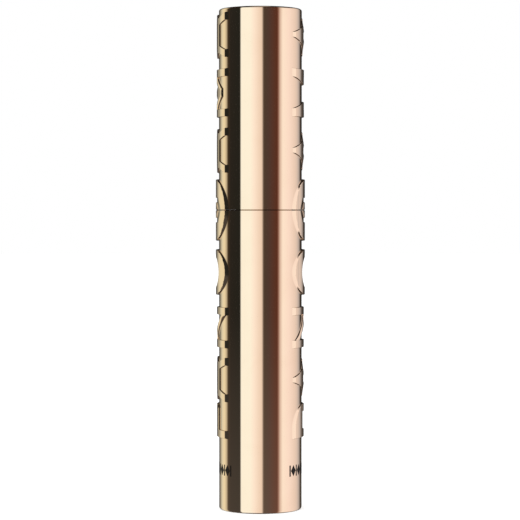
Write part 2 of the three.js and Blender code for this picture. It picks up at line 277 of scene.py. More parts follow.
handling_marks = new_group(
    "handling_marks",
    [("Vector", VECTOR, None), ("Clean", FLOAT, 0.05), ("Smudged", FLOAT, 0.12)],
    [("Roughness", FLOAT), ("Mask", FLOAT)],
)
marks_in = add_node(handling_marks, "NodeGroupInput").outputs
smudges = add_node(
    handling_marks,
    "ShaderNodeTexNoise",
    {"Vector": marks_in["Vector"], "Scale": 90.0, "Detail": 4.0, "Distortion": 0.6},
).outputs[0]
stretched = add_node(
    handling_marks,
    "ShaderNodeVectorMath",
    {0: marks_in["Vector"], 1: (900.0, 900.0, 60.0)},
    operation="MULTIPLY",
).outputs[0]
hairlines = add_node(
    handling_marks,
    "ShaderNodeTexNoise",
    {"Vector": stretched, "Scale": 1.0, "Detail": 2.0},
).outputs[0]
fine = between(handling_marks, hairlines, 0.62, 0.75, 0.5)
broad = between(handling_marks, smudges, 0.45, 0.75)
mask = calc(handling_marks, "MAXIMUM", fine, broad)
rough = add_node(
    handling_marks,
    "ShaderNodeMapRange",
    {"Value": mask, "To Min": marks_in["Clean"], "To Max": marks_in["Smudged"]},
).outputs[0]
add_node(handling_marks, "NodeGroupOutput", {"Roughness": rough, "Mask": mask})
print("group handling_marks:", len(handling_marks.nodes), "nodes")

# %% [markdown]
# Moulded plastic is never quite even. Noise in the colour alone would look printed, so
# `moulded_grain` gives two things: a normal from a fine bump, which catches the light,
# and the noise itself to mottle the colour.

# %% Shared effect: moulded grain
moulded_grain = new_group(
    "moulded_grain",
    [("Vector", VECTOR, None), ("Per Metre", FLOAT, 3000.0), ("Depth", FLOAT, 0.00002)],
    [("Normal", VECTOR), ("Mottle", FLOAT)],
)
grain_in = add_node(moulded_grain, "NodeGroupInput").outputs
grain = add_node(
    moulded_grain,
    "ShaderNodeTexNoise",
    {"Vector": grain_in["Vector"], "Scale": grain_in["Per Metre"], "Detail": 5.0},
).outputs[0]
relief = add_node(
    moulded_grain,
    "ShaderNodeBump",
    {"Height": grain, "Distance": grain_in["Depth"], "Strength": 0.6},
).outputs[0]
add_node(moulded_grain, "NodeGroupOutput", {"Normal": relief, "Mottle": grain})
print("group moulded_grain:", len(moulded_grain.nodes), "nodes")

# %% [markdown]
# Each finish is a Principled shader fed by those groups. `blank_finish` makes the
# material, hands back its shader, and `use_group` puts a group in front of it.


# %% Helpers for finishes
def blank_finish(name, **plain):
    material = bpy.data.materials.new(name)
    material.use_nodes = True
    shader = material.node_tree.nodes["Principled BSDF"]
    for label, value in plain.items():
        shader.inputs[label.replace("_", " ")].default_value = value
    place = add_node(material.node_tree, "ShaderNodeTexCoord").outputs["Object"]
    return material, material.node_tree, shader, place


def use_group(tree, group, place, **values):
    node = tree.nodes.new("ShaderNodeGroup")
    node.node_tree = group
    tree.links.new(place, node.inputs["Vector"])
    for label, value in values.items():
        node.inputs[label.replace("_", " ")].default_value = value
    return node.outputs


# %% [markdown]
# Rose gold plating: a mirror of evaporated metal over smooth moulding. Its own colour is a
# pale copper pink, a touch deeper where the lacquer pools, and only smudges dull it.

# %% Rose gold plating
rose_gold, tree, shader, place = blank_finish("rose_gold_plating", Metallic=1.0)
marks = use_group(tree, handling_marks, place, Clean=0.02, Smudged=0.06)
tree.links.new(marks["Roughness"], shader.inputs["Roughness"])
tint = blend(tree, marks["Mask"], (0.93, 0.70, 0.52), (0.91, 0.675, 0.495))
tree.links.new(tint, shader.inputs["Base Color"])
print("finish:", rose_gold.name)


# %% [markdown]
# The plastics and the rest share one recipe: a colour that wanders between two close
# tones, handling marks for the roughness and moulded grain for the surface.


# %% The other finishes
def moulded_finish(name, tones, clean, smudged, per_metre, depth, **plain):
    material, tree, shader, place = blank_finish(name, **plain)
    marks = use_group(tree, handling_marks, place, Clean=clean, Smudged=smudged)
    grain = use_group(tree, moulded_grain, place, Per_Metre=per_metre, Depth=depth)
    tree.links.new(marks["Roughness"], shader.inputs["Roughness"])
    tree.links.new(grain["Normal"], shader.inputs["Normal"])
    colour = blend(tree, grain["Mottle"], *tones)
    tree.links.new(colour, shader.inputs["Base Color"])
    print("finish:", name)
    return material


black_plastic = moulded_finish(
    "black_plastic", [(0.010, 0.010, 0.011), (0.017, 0.016, 0.016)],
    0.24, 0.4, 4000, 0.00001,
)
natural_plastic = moulded_finish(
    "natural_plastic", [(0.80, 0.78, 0.73), (0.88, 0.86, 0.82)],
    0.38, 0.5, 3000, 0.00002,
    Subsurface_Weight=0.4, Subsurface_Radius=(0.002, 0.0018, 0.0015),
)
# The seam line's finish: black plastic made darker and matt, as painted shade of the gap.
seam_black_and_shade = moulded_finish(
    "seam_black_and_painted_shade", [(0.004, 0.003, 0.003), (0.008, 0.006, 0.006)],
    0.6, 0.75, 4000, 0.00001, Specular_IOR_Level=0.1,
)
washer_foam = moulded_finish(
    "washer_foam", [(0.72, 0.71, 0.68), (0.90, 0.89, 0.86)], 0.75, 0.9, 9000, 0.00008
)
brush_elastomer = moulded_finish(
    "brush_elastomer", [(0.010, 0.010, 0.011), (0.022, 0.021, 0.022)],
    0.42, 0.6, 6000, 0.00002, Sheen_Weight=0.1,
)
mascara_paste = moulded_finish(
    "mascara_paste", [(0.004, 0.004, 0.004), (0.010, 0.009, 0.010)],
    0.12, 0.3, 900, 0.0003, Coat_Weight=0.6, Coat_Roughness=0.1,
)
label_paper = moulded_finish(
    "label_paper", [(0.045, 0.042, 0.040), (0.075, 0.070, 0.066)], 0.55, 0.7, 12000, 0.00003
)
brown_ink = moulded_finish(
    "brown_ink", [(0.006, 0.003, 0.002), (0.012, 0.007, 0.005)], 0.5, 0.65, 8000, 0.00001,
    Specular_IOR_Level=0.15,
)

# %% [markdown]
# ## Turned skins
#
# Nearly everything here is turned: a profile spun round the tube's axis. A mirror shows
# the smallest error in shading, so instead of letting Blender average the normals, `Skin`
# writes an exact normal at every face corner while it lays the rows of points. Profiles
# run with the outside on their right: up the outside, in across the top, down the bore.


# %% Skins with exact normals
class Skin:
    def __init__(self):
        self.points, self.faces, self.normals = [], [], []

    def row(self, radius, height, angles):
        if radius < 1e-6:
            self.points.append((0, 0, height))
            return [len(self.points) - 1] * len(angles)
        start = len(self.points)
        for a in angles:
            self.points.append((radius * math.sin(a), radius * math.cos(a), height))
        return list(range(start, start + len(angles)))

    def face(self, corners):
        kept = []
        for index, normal in corners:
            if index not in [k for k, _ in kept]:
                kept.append((index, normal))
        if len(kept) > 2:
            self.faces.append([index for index, _ in kept])
            self.normals.extend(normal for _, normal in kept)

    def bridge(self, low, high, angles, low_slope, high_slope):
        def spun(slope, a):
            return (slope[0] * math.sin(a), slope[0] * math.cos(a), slope[1])

        for i, j in zip(range(len(angles)), [*range(1, len(angles)), 0]):
            a, b = angles[i], angles[j]
            self.face(
                [
                    (low[i], spun(low_slope, a)),
                    (high[i], spun(high_slope, a)),
                    (high[j], spun(high_slope, b)),
                    (low[j], spun(low_slope, b)),
                ]
            )

    def build(self, name):
        mesh = bpy.data.meshes.new(name)
        mesh.from_pydata([Vector(p) * MM for p in self.points], [], self.faces)
        mesh.polygons.foreach_set("use_smooth", [True] * len(self.faces))
        mesh.normals_split_custom_set([Vector(n).normalized() for n in self.normals])
        piece = bpy.data.objects.new(name, mesh)
        bpy.context.collection.objects.link(piece)
        return piece


# %% [markdown]
# A profile corner is (radius, height, rounding). `softened` walks the corners and turns
# each rounding into a short arc, keeping the exact slope on both sides of every point.


# %% Rounded profiles
ARC_STEPS = 6


def softened(corners):
    path = []
    count = len(corners)
    for i, (r, z, rounding) in enumerate(corners):
        here = Vector((r, z))
        before = (here - Vector(corners[i - 1][:2])).normalized() if i else None
        after = (Vector(corners[i + 1][:2]) - here).normalized() if i + 1 < count else None
        before, after = before or after, after or before
        slope_in = Vector((before.y, -before.x))
        slope_out = Vector((after.y, -after.x))
        swing = math.atan2(
            slope_in.x * slope_out.y - slope_in.y * slope_out.x, slope_in.dot(slope_out)
        )
        if not rounding or abs(swing) < 0.01:
            path.append((r, z, slope_in, slope_out))
            continue
        start = here - before * rounding * abs(math.tan(swing / 2))
        side = 1 if swing > 0 else -1
        centre = start - slope_in * rounding * side
        for k in range(ARC_STEPS + 1):
            turn = swing * k / ARC_STEPS
            cos, sin = math.cos(turn), math.sin(turn)
            slope = Vector(
                (slope_in.x * cos - slope_in.y * sin, slope_in.x * sin + slope_in.y * cos)
            )
            point = centre + slope * rounding * side
            path.append((point.x, point.y, slope, slope))
    return [p for k, p in enumerate(path) if not k or math.dist(p[:2], path[k - 1][:2]) > 1e-5]


def join_rows(skin, rows, path, angles):
    for k in range(len(path) - 1):
        skin.bridge(rows[k], rows[k + 1], angles, path[k][3], path[k + 1][2])


def turned(name, corners, segments=128):
    angles = [2 * math.pi * k / segments for k in range(segments)]
    skin = Skin()
    path = softened(corners)
    closed = corners[0][:2] == corners[-1][:2]
    rows = [skin.row(r, z, angles) for r, z, _, _ in (path[:-1] if closed else path)]
    if closed:
        rows.append(rows[0])
    join_rows(skin, rows, path, angles)
    return skin.build(name)


# %% [markdown]
# Every finished piece gets a finish and a body to ride on; the solids that it stands for are
# hidden.


# %% Finish a piece
def fit(piece, finish, body, slot, *nodes):
    if not piece.data.materials:
        piece.data.materials.append(finish)
    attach(piece, body)
    if nodes:
        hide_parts(*nodes)
    print(f"{piece.name}: {len(piece.data.polygons)} faces on {body}")
    return piece


# %% [markdown]
# ## The ornament
#
# On the real tube the raised work is moulded with the shells: flat-topped strokes with
# crisp walls, about half a millimetre proud, rings and medallions a little more. It could
# be cut with booleans, but a mirror would show every stray normal. Here it is drawn flat,
# on the unrolled wall: each shape is an outline in millimetres, x round the back and z up.
# The wall is then cut into triangles along every outline and rolled up.

# %% Shapes drawn on the unrolled wall
WALL = 10.5
DEGREE = math.radians(1) * WALL  # millimetres of wall to a degree
REACH = 131
STROKE = 2.1
RISE = 0.55
BOLD = 0.8
WINDOW_FLOOR = 0.5
TIP = REACH - 0.5  # where points and gussets end, just short of the ramp's foot


def shape(outline, rise=RISE, hole=None, gentle=False):
    flat = [np.array([(a * DEGREE, z) for a, z in loop]) for loop in (outline, hole) if loop]
    return {"loops": flat, "rise": rise, "gentle": gentle}


def stroke(points, gentle=False):
    upper = [(a, z + STROKE / 2) for a, z in points]
    lower = [(a, z - STROKE / 2) for a, z in reversed(points)]
    return shape(upper + lower, gentle=gentle)


def bar(height, start=-REACH, end=REACH):
    return stroke([(start, height), (end, height)])


def upright(angle, low, high, half=5.5):
    return shape(
        [(angle - half, low), (angle - half, high), (angle + half, high), (angle + half, low)]
    )


def lozenge(angle, height, half_angle, half_height, rise=RISE):
    return shape(
        [
            (angle - half_angle, height),
            (angle, height + half_height),
            (angle + half_angle, height),
            (angle, height - half_height),
        ],
        rise,
        gentle=True,
    )


def mirrored(points, middle, gentle=False):
    return [stroke([(a, middle + side * z) for a, z in points], gentle) for side in (1, -1)]


# %% [markdown]
# Six motifs make the whole ornament. Their sizes match the solids they replace.


# %% Ladders, trellises and trusses
def ladder(middle, height):
    wide = height / 2 - STROKE / 2
    waist = wide - 1.3
    bay = 19
    rungs = [-103 + k * 2 * bay for k in range(5)]
    rail = [(-REACH, wide), (-REACH + 7, wide)]
    for a in rungs:
        rail += [(a, waist), (a + bay, wide)]
    rail += [(97, 1.4), (112, 0.6)]
    uprights = [upright(a, middle - waist, middle + waist) for a in rungs[1:]]
    broad = upright(-97.5, middle - waist, middle + waist, half=11)
    point = [(95, 2.5), (TIP, 0.57), (TIP, -0.57), (95, -2.5)]
    return [
        *mirrored(rail, middle), *uprights, broad, shape([(a, middle + z) for a, z in point])
    ]


def trellis(middle, height):
    spread = height / 2 - STROKE / 2
    turns = [-118, -80, -42, -4, 34, 72]
    crossing = [(a, spread if k % 2 else 0) for k, a in enumerate(turns)]
    near_bar = spread - STROKE / 2
    gussets = [
        shape([(91, middle + s * (near_bar - 2)), (TIP, middle + s * near_bar),
               (TIP, middle + s * spread), (91, middle + s * spread)][::s])
        for s in (1, -1)
    ]
    bars = [bar(middle - spread), bar(middle + spread)]
    crossed = mirrored(crossing, middle, gentle=True)
    return [*bars, *crossed, lozenge(-100, middle, 16, 1.9), *gussets]


def truss(middle, height):
    spread = height / 2 - STROKE / 2
    zigzag = [
        (a, middle + (-spread if k % 2 else spread))
        for k, a in enumerate([-125, -75, -25, 25, 75, 125])
    ]
    return [bar(middle - spread), bar(middle + spread), stroke(zigzag)]


# %% [markdown]
# The plinth is the lowest band. Rings and medallions are ovals whose points are worked
# out by angle. A ring has an oval hole; a medallion has a six-sided window with a lower
# floor and a lozenge in it.

# %% The plinth, the rings and the medallions
def oval(angle, height, half_angle, half_height, count=72, start=0.0, end=360.0):
    turns = [math.radians(start + (end - start) * k / count) for k in range(count)]
    return [
        (angle + half_angle * math.cos(t), height + half_height * math.sin(t)) for t in turns
    ]


def plinth(middle, height):
    spread = height / 2 - STROKE / 2
    end, corner = 100, 6.0
    rounded = oval(end, middle + height / 2 - corner, REACH - end, corner, 24, 90, -3.7)
    broad_end = [(end, middle - spread), *rounded, (REACH, middle - spread)]
    return [
        bar(middle - spread),
        bar(middle + spread, -REACH + 31, end + 1),
        upright(-REACH + 36, middle - spread, middle + spread, half=9),
        upright(4, middle - spread, middle + spread),
        shape(broad_end, gentle=True),
    ]


PITCH, HALF = 88, 43  # of the rings and the medallions, in degrees


def rings(middle, half_height):
    return [
        shape(oval(c, middle, HALF, half_height), BOLD, oval(c, middle, 17, 3.7, 48), True)
        for c in (-PITCH, 0, PITCH)
    ]


def medallions(middle, half_height):
    made = []
    for c in (-PITCH, 0, PITCH):
        window = [(c + s * a, middle + z) for s, a, z in HEXAGON]
        made.append(shape(oval(c, middle, HALF, half_height), BOLD, window, True))
        made.append(shape(oval(c, middle, HALF - 2, half_height - 0.4), WINDOW_FLOOR))
        made.append(lozenge(c, middle, 14, 2.1, BOLD))
    return made


HEXAGON = [(1, 25, 0), (1, 16, 3), (-1, 16, 3), (-1, 25, 0), (-1, 16, -3), (1, 16, -3)]
SEAM = 76.0
CAP_ORNAMENT = [
    *ladder(120, 11.4), *trellis(105.5, 12.2), *ladder(91, 11.4), *medallions(SEAM, 7.85)
]
BOTTLE_ORNAMENT = [
    *medallions(SEAM, 7.85), *rings(60.25, 5.85), *truss(46.35, 10.4),
    *ladder(33.25, 11.3), *plinth(22.65, 8.6),
]
print("raised shapes:", len(CAP_ORNAMENT) + len(BOTTLE_ORNAMENT))

# %% [markdown]
# ## How high the wall stands
#
# The height at any point comes from its distance to the nearest outline: nothing outside,
# a steep rounded shoulder just inside, flat on top. Where a shape ends towards the smooth
# front it slopes down more gently, as the mould needs, so `run_to_front` measures how far
# the raised work goes on towards the front. All the work also runs out in one common ramp
# at the edge of the front, and its tops lie lower near there.


# %% Distances in the unrolled plane
SHOULDER = 0.16


def depth_inside(x, z, loops):
    nearest = np.full(x.shape, np.inf)
    inside = np.zeros(x.shape, bool)
    for loop in loops:
        for (ax, az), (bx, bz) in zip(loop, np.roll(loop, -1, axis=0)):
            ex, ez = bx - ax, bz - az
            along = np.clip(((x - ax) * ex + (z - az) * ez) / (ex * ex + ez * ez), 0, 1)
            gap = (x - ax - along * ex) ** 2 + (z - az - along * ez) ** 2
            nearest = np.minimum(nearest, gap)
            if az != bz:
                inside ^= ((az > z) != (bz > z)) & (x < ax + (z - az) * ex / ez)
    return np.where(inside, 1, -1) * np.sqrt(nearest)


def near(x, z, item, margin):
    low, high = item["loops"][0].min(axis=0) - margin, item["loops"][0].max(axis=0) + margin
    return np.nonzero((x > low[0]) & (x < high[0]) & (z > low[1]) & (z < high[1]))[0]


def next_edge(x, z, side, loops):
    ahead = np.full(x.shape, np.inf)
    for loop in loops:
        for (ax, az), (bx, bz) in zip(loop, np.roll(loop, -1, axis=0)):
            if az == bz:
                continue
            crossed = (az > z) != (bz > z)
            gap = side * (ax + (z - az) * (bx - ax) / (bz - az) - x)
            ahead = np.where(crossed & (gap > -1e-9), np.minimum(ahead, gap), ahead)
    return ahead


def run_to_front(x, z, shapes, hops=3):
    side = np.where(x > 0, 1.0, -1.0)
    reached = x.copy()
    for _ in range(hops):
        best = np.zeros_like(x)
        for item in shapes:
            at = near(reached, z, item, 0.001)
            if not len(at):
                continue
            inside = depth_inside(reached[at] + side[at] * 1e-4, z[at], item["loops"]) > 0
            at = at[inside]
            gap = next_edge(reached[at], z[at], side[at], item["loops"])
            best[at] = np.maximum(best[at], np.where(np.isfinite(gap), gap, 0))
        reached = reached + side * best
    return np.abs(reached - x)


# %% [markdown]
# `wall_height` puts these distances together. Where shapes overlap, the higher one
# counts, and a gentle shape gets a wider slope the further forward it ends.

# %% Height of the raised work
FRONT_RISE = 0.34  # how high the tops stand where the common ramp begins
RAMP, CRISP = 1.15, 0.5  # widths of the common ramp and of the other front slopes
SLOPE_CURVE = 1.3
FRONT_FROM = 78  # degrees round from the middle of the back, as are the next three
FALLS_FROM, FALLS_TO = 90, 106  # the tops fall to FRONT_RISE between these
WIDENS_FROM = 113
WIDENING = 0.045  # millimetres of slope for each degree past WIDENS_FROM
BOLD_DELAY = 40  # degrees for each millimetre that a shape is higher than RISE


def wall_height(x, z, shapes):
    shoulder = np.zeros(x.shape)
    rise = np.full(x.shape, RISE)
    gentle = np.zeros(x.shape, bool)
    for item in shapes:
        at = near(x, z, item, 0)
        if not len(at):
            continue
        t = np.clip(depth_inside(x[at], z[at], item["loops"]) / SHOULDER, 0, 1)
        here = 1 - (1 - t) ** 2
        better = here * item["rise"] > shoulder[at] * rise[at]
        shoulder[at[better]] = here[better]
        rise[at[better]] = item["rise"]
        gentle[at[better]] = item["gentle"]
    turned_to = np.abs(x) / DEGREE
    falls_to = FALLS_TO + BOLD_DELAY * (rise - RISE)
    top = FRONT_RISE + (rise - FRONT_RISE) * np.clip(
        (falls_to - turned_to) / (falls_to - FALLS_FROM), 0, 1
    )
    front = np.nonzero((turned_to > FRONT_FROM) & (shoulder > 0))[0]
    run = run_to_front(x[front], z[front], shapes)
    ends_at = turned_to[front] + run / DEGREE
    widened = np.where(gentle[front], WIDENING * (ends_at - WIDENS_FROM), 0)
    slope_width = np.clip(CRISP + widened, CRISP, RAMP)
    to_ramp_foot = (REACH - turned_to[front]) * DEGREE / RAMP
    slope = np.clip(np.minimum(run / slope_width, to_ramp_foot), 0, 1) ** SLOPE_CURVE
    shoulder[front] = np.minimum(shoulder[front], slope)
    return shoulder * top


# %% [markdown]
# ## Cutting and rolling the wall
#
# `delaunay_2d_cdt` cuts the unrolled wall into triangles that keep to every given edge:
# the outlines, three more outlines set in across each shoulder, short level cuts over the
# gentle front slopes, and upright lines close enough together for the wall to roll up
# round.


# %% Cut lines
CUTS_FROM = 98  # degrees from the middle of the back
FINE_COLUMNS = (76, 130)


def set_in(loop, distance):
    forward = np.roll(loop, -1, axis=0) - loop
    forward /= np.linalg.norm(forward, axis=1)[:, None]
    x, z = loop[:, 0], loop[:, 1]
    turning = np.sign((x * np.roll(z, -1) - np.roll(x, -1) * z).sum())
    normal = turning * np.stack([-forward[:, 1], forward[:, 0]], axis=1)
    previous = np.roll(normal, 1, axis=0)
    spread = 1 + (normal * previous).sum(axis=1)
    return loop + distance * (normal + previous) / np.maximum(spread, 0.3)[:, None]


def columns():
    first, last = FINE_COLUMNS
    kept = [a for a in range(-180, 181) if a % 2 == 0 or first <= abs(a) <= last]
    return [a * DEGREE for a in kept]


def level_cuts(item, spacing=0.4, near_end=1):
    """Short level cuts over the front slopes of a gentle shape that gets there."""
    if not item["gentle"]:
        return
    low, high = item["loops"][0].min(axis=0), item["loops"][0].max(axis=0)
    for z in np.arange(low[1] + spacing / 2, high[1], spacing):
        for side in (-1, 1):
            start, end = side * CUTS_FROM * DEGREE, side * REACH * DEGREE
            if low[0] - near_end < end < high[0] + near_end:
                yield [(start, z), (end, z)]


def cut_wall(shapes, low, high):
    points, edges = [], []

    def line(loop, closed=True):
        start = len(points)
        points.extend(Vector((float(x), float(z))) for x, z in loop)
        edges.extend((start + k, start + k + 1) for k in range(len(loop) - 1))
        if closed:
            edges.append((start + len(loop) - 1, start))

    for x in columns():
        line([(x, low), (x, high)], closed=False)
    for z in (low, high):
        line([(-180 * DEGREE, z), (180 * DEGREE, z)], closed=False)
    for item in shapes:
        for number, loop in enumerate(item["loops"]):
            for inset in (0, SHOULDER / 3, SHOULDER / 1.5, SHOULDER):
                line(set_in(loop, -inset if number else inset))
        for cut in level_cuts(item):
            line([end for end in cut if low < end[1] < high], closed=False)
    made = delaunay_2d_cdt(points, edges, [], 0, 1e-5, False)
    corners = np.array([tuple(p) for p in made[0]])
    triangles = np.array([f for f in made[2] if len(f) == 3])
    middle = corners[triangles].mean(axis=1)
    keep = (middle[:, 1] > low) & (middle[:, 1] < high)
    keep &= np.abs(middle[:, 0]) < 180 * DEGREE
    return corners, triangles[keep]


# %% [markdown]
# Each triangle is either smooth wall, with a normal straight out from the axis, or raised
# work. For raised work the slope of the height is measured just inside the triangle, so
# the foot of a shoulder stays a sharp line and its top rolls over softly.


# %% Roll the wall up into a skin
PULLED_IN = 0.06  # how far inside its triangle a slope is measured, as a share


def slopes(x, z, shapes, step=0.01):
    across = wall_height(x + step, z, shapes) - wall_height(x - step, z, shapes)
    upward = wall_height(x, z + step, shapes) - wall_height(x, z - step, shapes)
    return across / (2 * step), upward / (2 * step)


def roll_wall(skin, shapes, low, high):
    corners, triangles = cut_wall(shapes, low, high)
    used = np.unique(triangles)
    renumber = np.zeros(len(corners), int)
    renumber[used] = np.arange(len(used))
    corners, triangles = corners[used], renumber[triangles]
    x, z = corners[:, 0], corners[:, 1]
    height = np.maximum(wall_height(x, z, shapes), 0)
    turn = x / WALL
    start = len(skin.points)
    radius = WALL + height
    skin.points.extend(zip(radius * np.sin(turn), radius * np.cos(turn), z))
    middle = corners[triangles].mean(axis=1)
    raised = wall_height(middle[:, 0], middle[:, 1], shapes) > 0
    pulled = corners[triangles] + PULLED_IN * (middle[:, None, :] - corners[triangles])
    across = np.zeros(triangles.shape)
    upward = np.zeros(triangles.shape)
    flat = pulled[raised].reshape(-1, 2)
    dx, dz = slopes(flat[:, 0], flat[:, 1], shapes)
    across[raised], upward[raised] = dx.reshape(-1, 3), dz.reshape(-1, 3)
    angle = turn[triangles]
    sin, cos = np.sin(angle), np.cos(angle)
    normals = np.stack([sin - across * cos, cos + across * sin, -upward], axis=2)
    seam_twin = {}
    left = [k for k in range(len(x)) if abs(x[k] + 180 * DEGREE) < 1e-4]
    right = [k for k in range(len(x)) if abs(x[k] - 180 * DEGREE) < 1e-4]
    for k in right:
        seam_twin[k] = min(left, key=lambda m: abs(z[m] - z[k]))
    for face, normal in zip(triangles[:, ::-1], normals[:, ::-1]):
        numbers = [start + int(seam_twin.get(int(k), k)) for k in face]
        skin.face([(number, tuple(n)) for number, n in zip(numbers, normal)])
    rows = []
    for level in (low, high):
        at = [k for k in range(len(x)) if abs(z[k] - level) < 1e-4 and k not in seam_twin]
        at.sort(key=lambda k: x[k])
        rows.append(([start + k for k in at], [turn[k] for k in at]))
    print(f"wall from {low} to {high}: {len(triangles)} triangles")
    return rows


# %% [markdown]
# ## The two shells
#
# A shell is one closed skin: the rolled wall, a rounded end, a rim and a plain bore. The
# rows of the turned parts use the same angles as the wall's own edges, so nothing gapes.
# At the seam both rims have a fine chamfer. Between them a thin dark line shows: the
# shoulder ring's black flange, made darker as painted shade of the gap. Its outer edge
# follows the ornament, a hair's breadth further in.


# %% Build the cap shell
CHAMFER = 0.04
RIM_GAP = 0.2
CAP_TOP, CAP_ROOF, BORE = 126.79, 125.2, 9.35
EDGE = 0.5


def rim(skin, row, angles, height):
    """Chamfer a wall's edge over to a flat rim, and return the rim's own row."""
    drop = height - skin.points[row[0]][2]
    slope = Vector((abs(drop), drop)).normalized()
    edge = []
    for number in row:
        x, y, _ = skin.points[number]
        shrink = 1 - abs(drop) / math.hypot(x, y)
        edge.append(len(skin.points))
        skin.points.append((x * shrink, y * shrink, height))
    if drop > 0:
        skin.bridge(row, edge, angles, slope, slope)
    else:
        skin.bridge(edge, row, angles, slope, slope)
    return edge


def close_shell(skin, row, angles, path, entering):
    rows = [skin.row(r, z, angles) for r, z, _, _ in path]
    rows[-1 if entering else 0] = row
    join_rows(skin, rows, path, angles)


cap_skin = Skin()
cap_rim = SEAM + RIM_GAP / 2
(low_row, low_angles), (high_row, high_angles) = roll_wall(
    cap_skin, CAP_ORNAMENT, cap_rim + CHAMFER, CAP_TOP - EDGE
)
cap_edge = rim(cap_skin, low_row, low_angles, cap_rim)
bore = [(0, CAP_ROOF, 0), (BORE, CAP_ROOF, 0.5), (BORE, cap_rim, 0), (WALL, cap_rim, 0)]
close_shell(cap_skin, cap_edge, low_angles, softened(bore), True)
crown = [(WALL, CAP_TOP - EDGE, 0), (WALL, CAP_TOP, EDGE), (0, CAP_TOP, 0)]
close_shell(cap_skin, high_row, high_angles, softened(crown), False)
cap_shell = cap_skin.build("cap_shell_mirror")
fit(cap_shell, rose_gold, "cap", "rose_gold_plating", "cap_shell")

# %% [markdown]
# The table's light creeps in under the foot, so on the foot's rounded edge the studio's
# stripes run on almost to the table. `lit_from_below` flattens the shading there.

# %% Build the bottle shell
FOOT_EDGE = 0.6
FOOT_TILT = 0.3  # how much of the true downward tilt the shading keeps


def lit_from_below(point):
    r, z, low_slope, high_slope = point
    if r < WALL - FOOT_EDGE / 2:
        return point
    flatter = [Vector((slope.x, slope.y * FOOT_TILT)) for slope in (low_slope, high_slope)]
    return (r, z, *flatter)


bottle_skin = Skin()
bottle_rim = SEAM - RIM_GAP / 2
(low_row, low_angles), (high_row, high_angles) = roll_wall(
    bottle_skin, BOTTLE_ORNAMENT, FOOT_EDGE, bottle_rim - CHAMFER
)
foot = softened(
    [(0, 0.4, 0), (8.15, 0.4, 0), (8.15, 0, 0.1), (WALL, 0, FOOT_EDGE), (WALL, FOOT_EDGE, 0)]
)
close_shell(bottle_skin, low_row, low_angles, [lit_from_below(p) for p in foot], True)
bottle_edge = rim(bottle_skin, high_row, high_angles, bottle_rim)
bore = [
    (WALL, bottle_rim, 0), (BORE, bottle_rim, 0.1), (BORE, 5.6, 0.3), (8.95, 5, 0.3),
    (8.95, 1.6, 0.3), (0, 1.6, 0),
]
close_shell(bottle_skin, bottle_edge, high_angles, softened(bore), False)
bottle_shell = bottle_skin.build("bottle_shell_mirror")
fit(bottle_shell, rose_gold, "bottle", "rose_gold_plating", "bottle_shell")


# %% [markdown]
# On the real tube black shows between the two rims. A groove cut in the mirror would
# shine back, so the line is a piece of its own: a matt black ring whose outer edge
# follows the bottle's rim, set in a little. Its finish is black plastic with painted
# shade: darker and duller than the shoulder ring's, for the shadow in the gap.

# %% The dark line at the seam
def seam_ring(name, row, angles, source, half=0.09, depth=0.12, inner=10.0):
    skin = Skin()
    outer = [[], []]
    for side, level in enumerate((SEAM - half, SEAM + half)):
        for number in row:
            x, y, _ = source.points[number]
            shrink = 1 - depth / math.hypot(x, y)
            outer[side].append(len(skin.points))
            skin.points.append((x * shrink, y * shrink, level))
    bore = [skin.row(inner, level, angles) for level in (SEAM - half, SEAM + half)]
    sides = [
        (outer[0], outer[1], (1, 0)), (outer[1], bore[1], (0, 1)),
        (bore[1], bore[0], (-1, 0)), (bore[0], outer[0], (0, -1)),
    ]
    for first, second, slope in sides:
        skin.bridge(first, second, angles, slope, slope)
    return skin.build(name)


seam_line = seam_ring("seam_line", high_row, high_angles, bottle_skin)
fit(seam_line, seam_black_and_shade, "bottle", "black_plastic")

# %% [markdown]
# ## Inside the bottle
#
# These pieces show when the cap is off. Each is one turned skin with small roundings,
# since no moulded edge is perfectly sharp.

# %% Vial, shoulder ring, wiper, paste and label
vial = turned(
    "vial_moulding",
    [
        (0, 1.9, 0), (8.5, 1.9, 0.5), (8.8, 2.4, 0.3), (8.8, 71.6, 0.2), (9.2, 72, 0.2),
        (9.2, 73.4, 0.15), (6.15, 73.4, 0.2), (6.15, 90, 0.25), (5, 90, 0.15),
        (5, 71.8, 0.4), (7.7, 69, 0.6), (7.7, 3.6, 0.6), (0, 3.6, 0),
    ],
)
fit(vial, black_plastic, "bottle", "black_plastic", "product_vial")
shoulder = turned(
    "shoulder_collar",
    [
        (6.45, 73.45, 0), (9.2, 73.45, 0.1), (9.2, 75.94, 0.05), (10.3, 75.94, 0.04),
        (10.3, 76.06, 0.04), (8.85, 76.06, 0.04), (8.85, 75.5, 0.1), (6.45, 75.5, 0.3),
        (6.45, 73.45, 0),
    ],
)
fit(shoulder, black_plastic, "bottle", "black_plastic", "shoulder_ring")
wiper = turned(
    "wiper_sleeve",
    [
        (4.97, 90.02, 0), (4.97, 80.5, 0.8), (2.75, 77.2, 0.5), (2.75, 76.4, 0.1),
        (2.15, 76.4, 0.1), (2.15, 77.4, 0.5), (4.35, 81.1, 0.8), (4.35, 90.8, 0.35),
        (6.1, 90.8, 0.2), (6.1, 90.02, 0.1), (4.97, 90.02, 0),
    ][::-1],
)
fit(wiper, natural_plastic, "bottle", "natural_plastic", "neck_wiper")
paste = turned(
    "paste_fill",
    [
        (0, 3.65, 0), (7.6, 3.65, 0.5), (7.6, 66.3, 0.3), (4.7, 65.4, 0.5), (4.5, 8, 1.2),
        (3.2, 7.1, 0.8), (0, 7.1, 0),
    ],
)
fit(paste, mascara_paste, "bottle", "mascara_paste", "mascara_formula")
label = turned(
    "foot_label", [(0, 0.26, 0), (8, 0.26, 0.04), (8, 0.38, 0.04), (0, 0.38, 0)]
)
fit(label, label_paper, "bottle", "label_paper", "base_label")

# %% [markdown]
# ## Inside the cap
#
# The liner carries the thread and grips the stem; the washer seals on the vial's rim. The
# stem is plain and glossy, with a collar, and ends in a pin inside the brush.

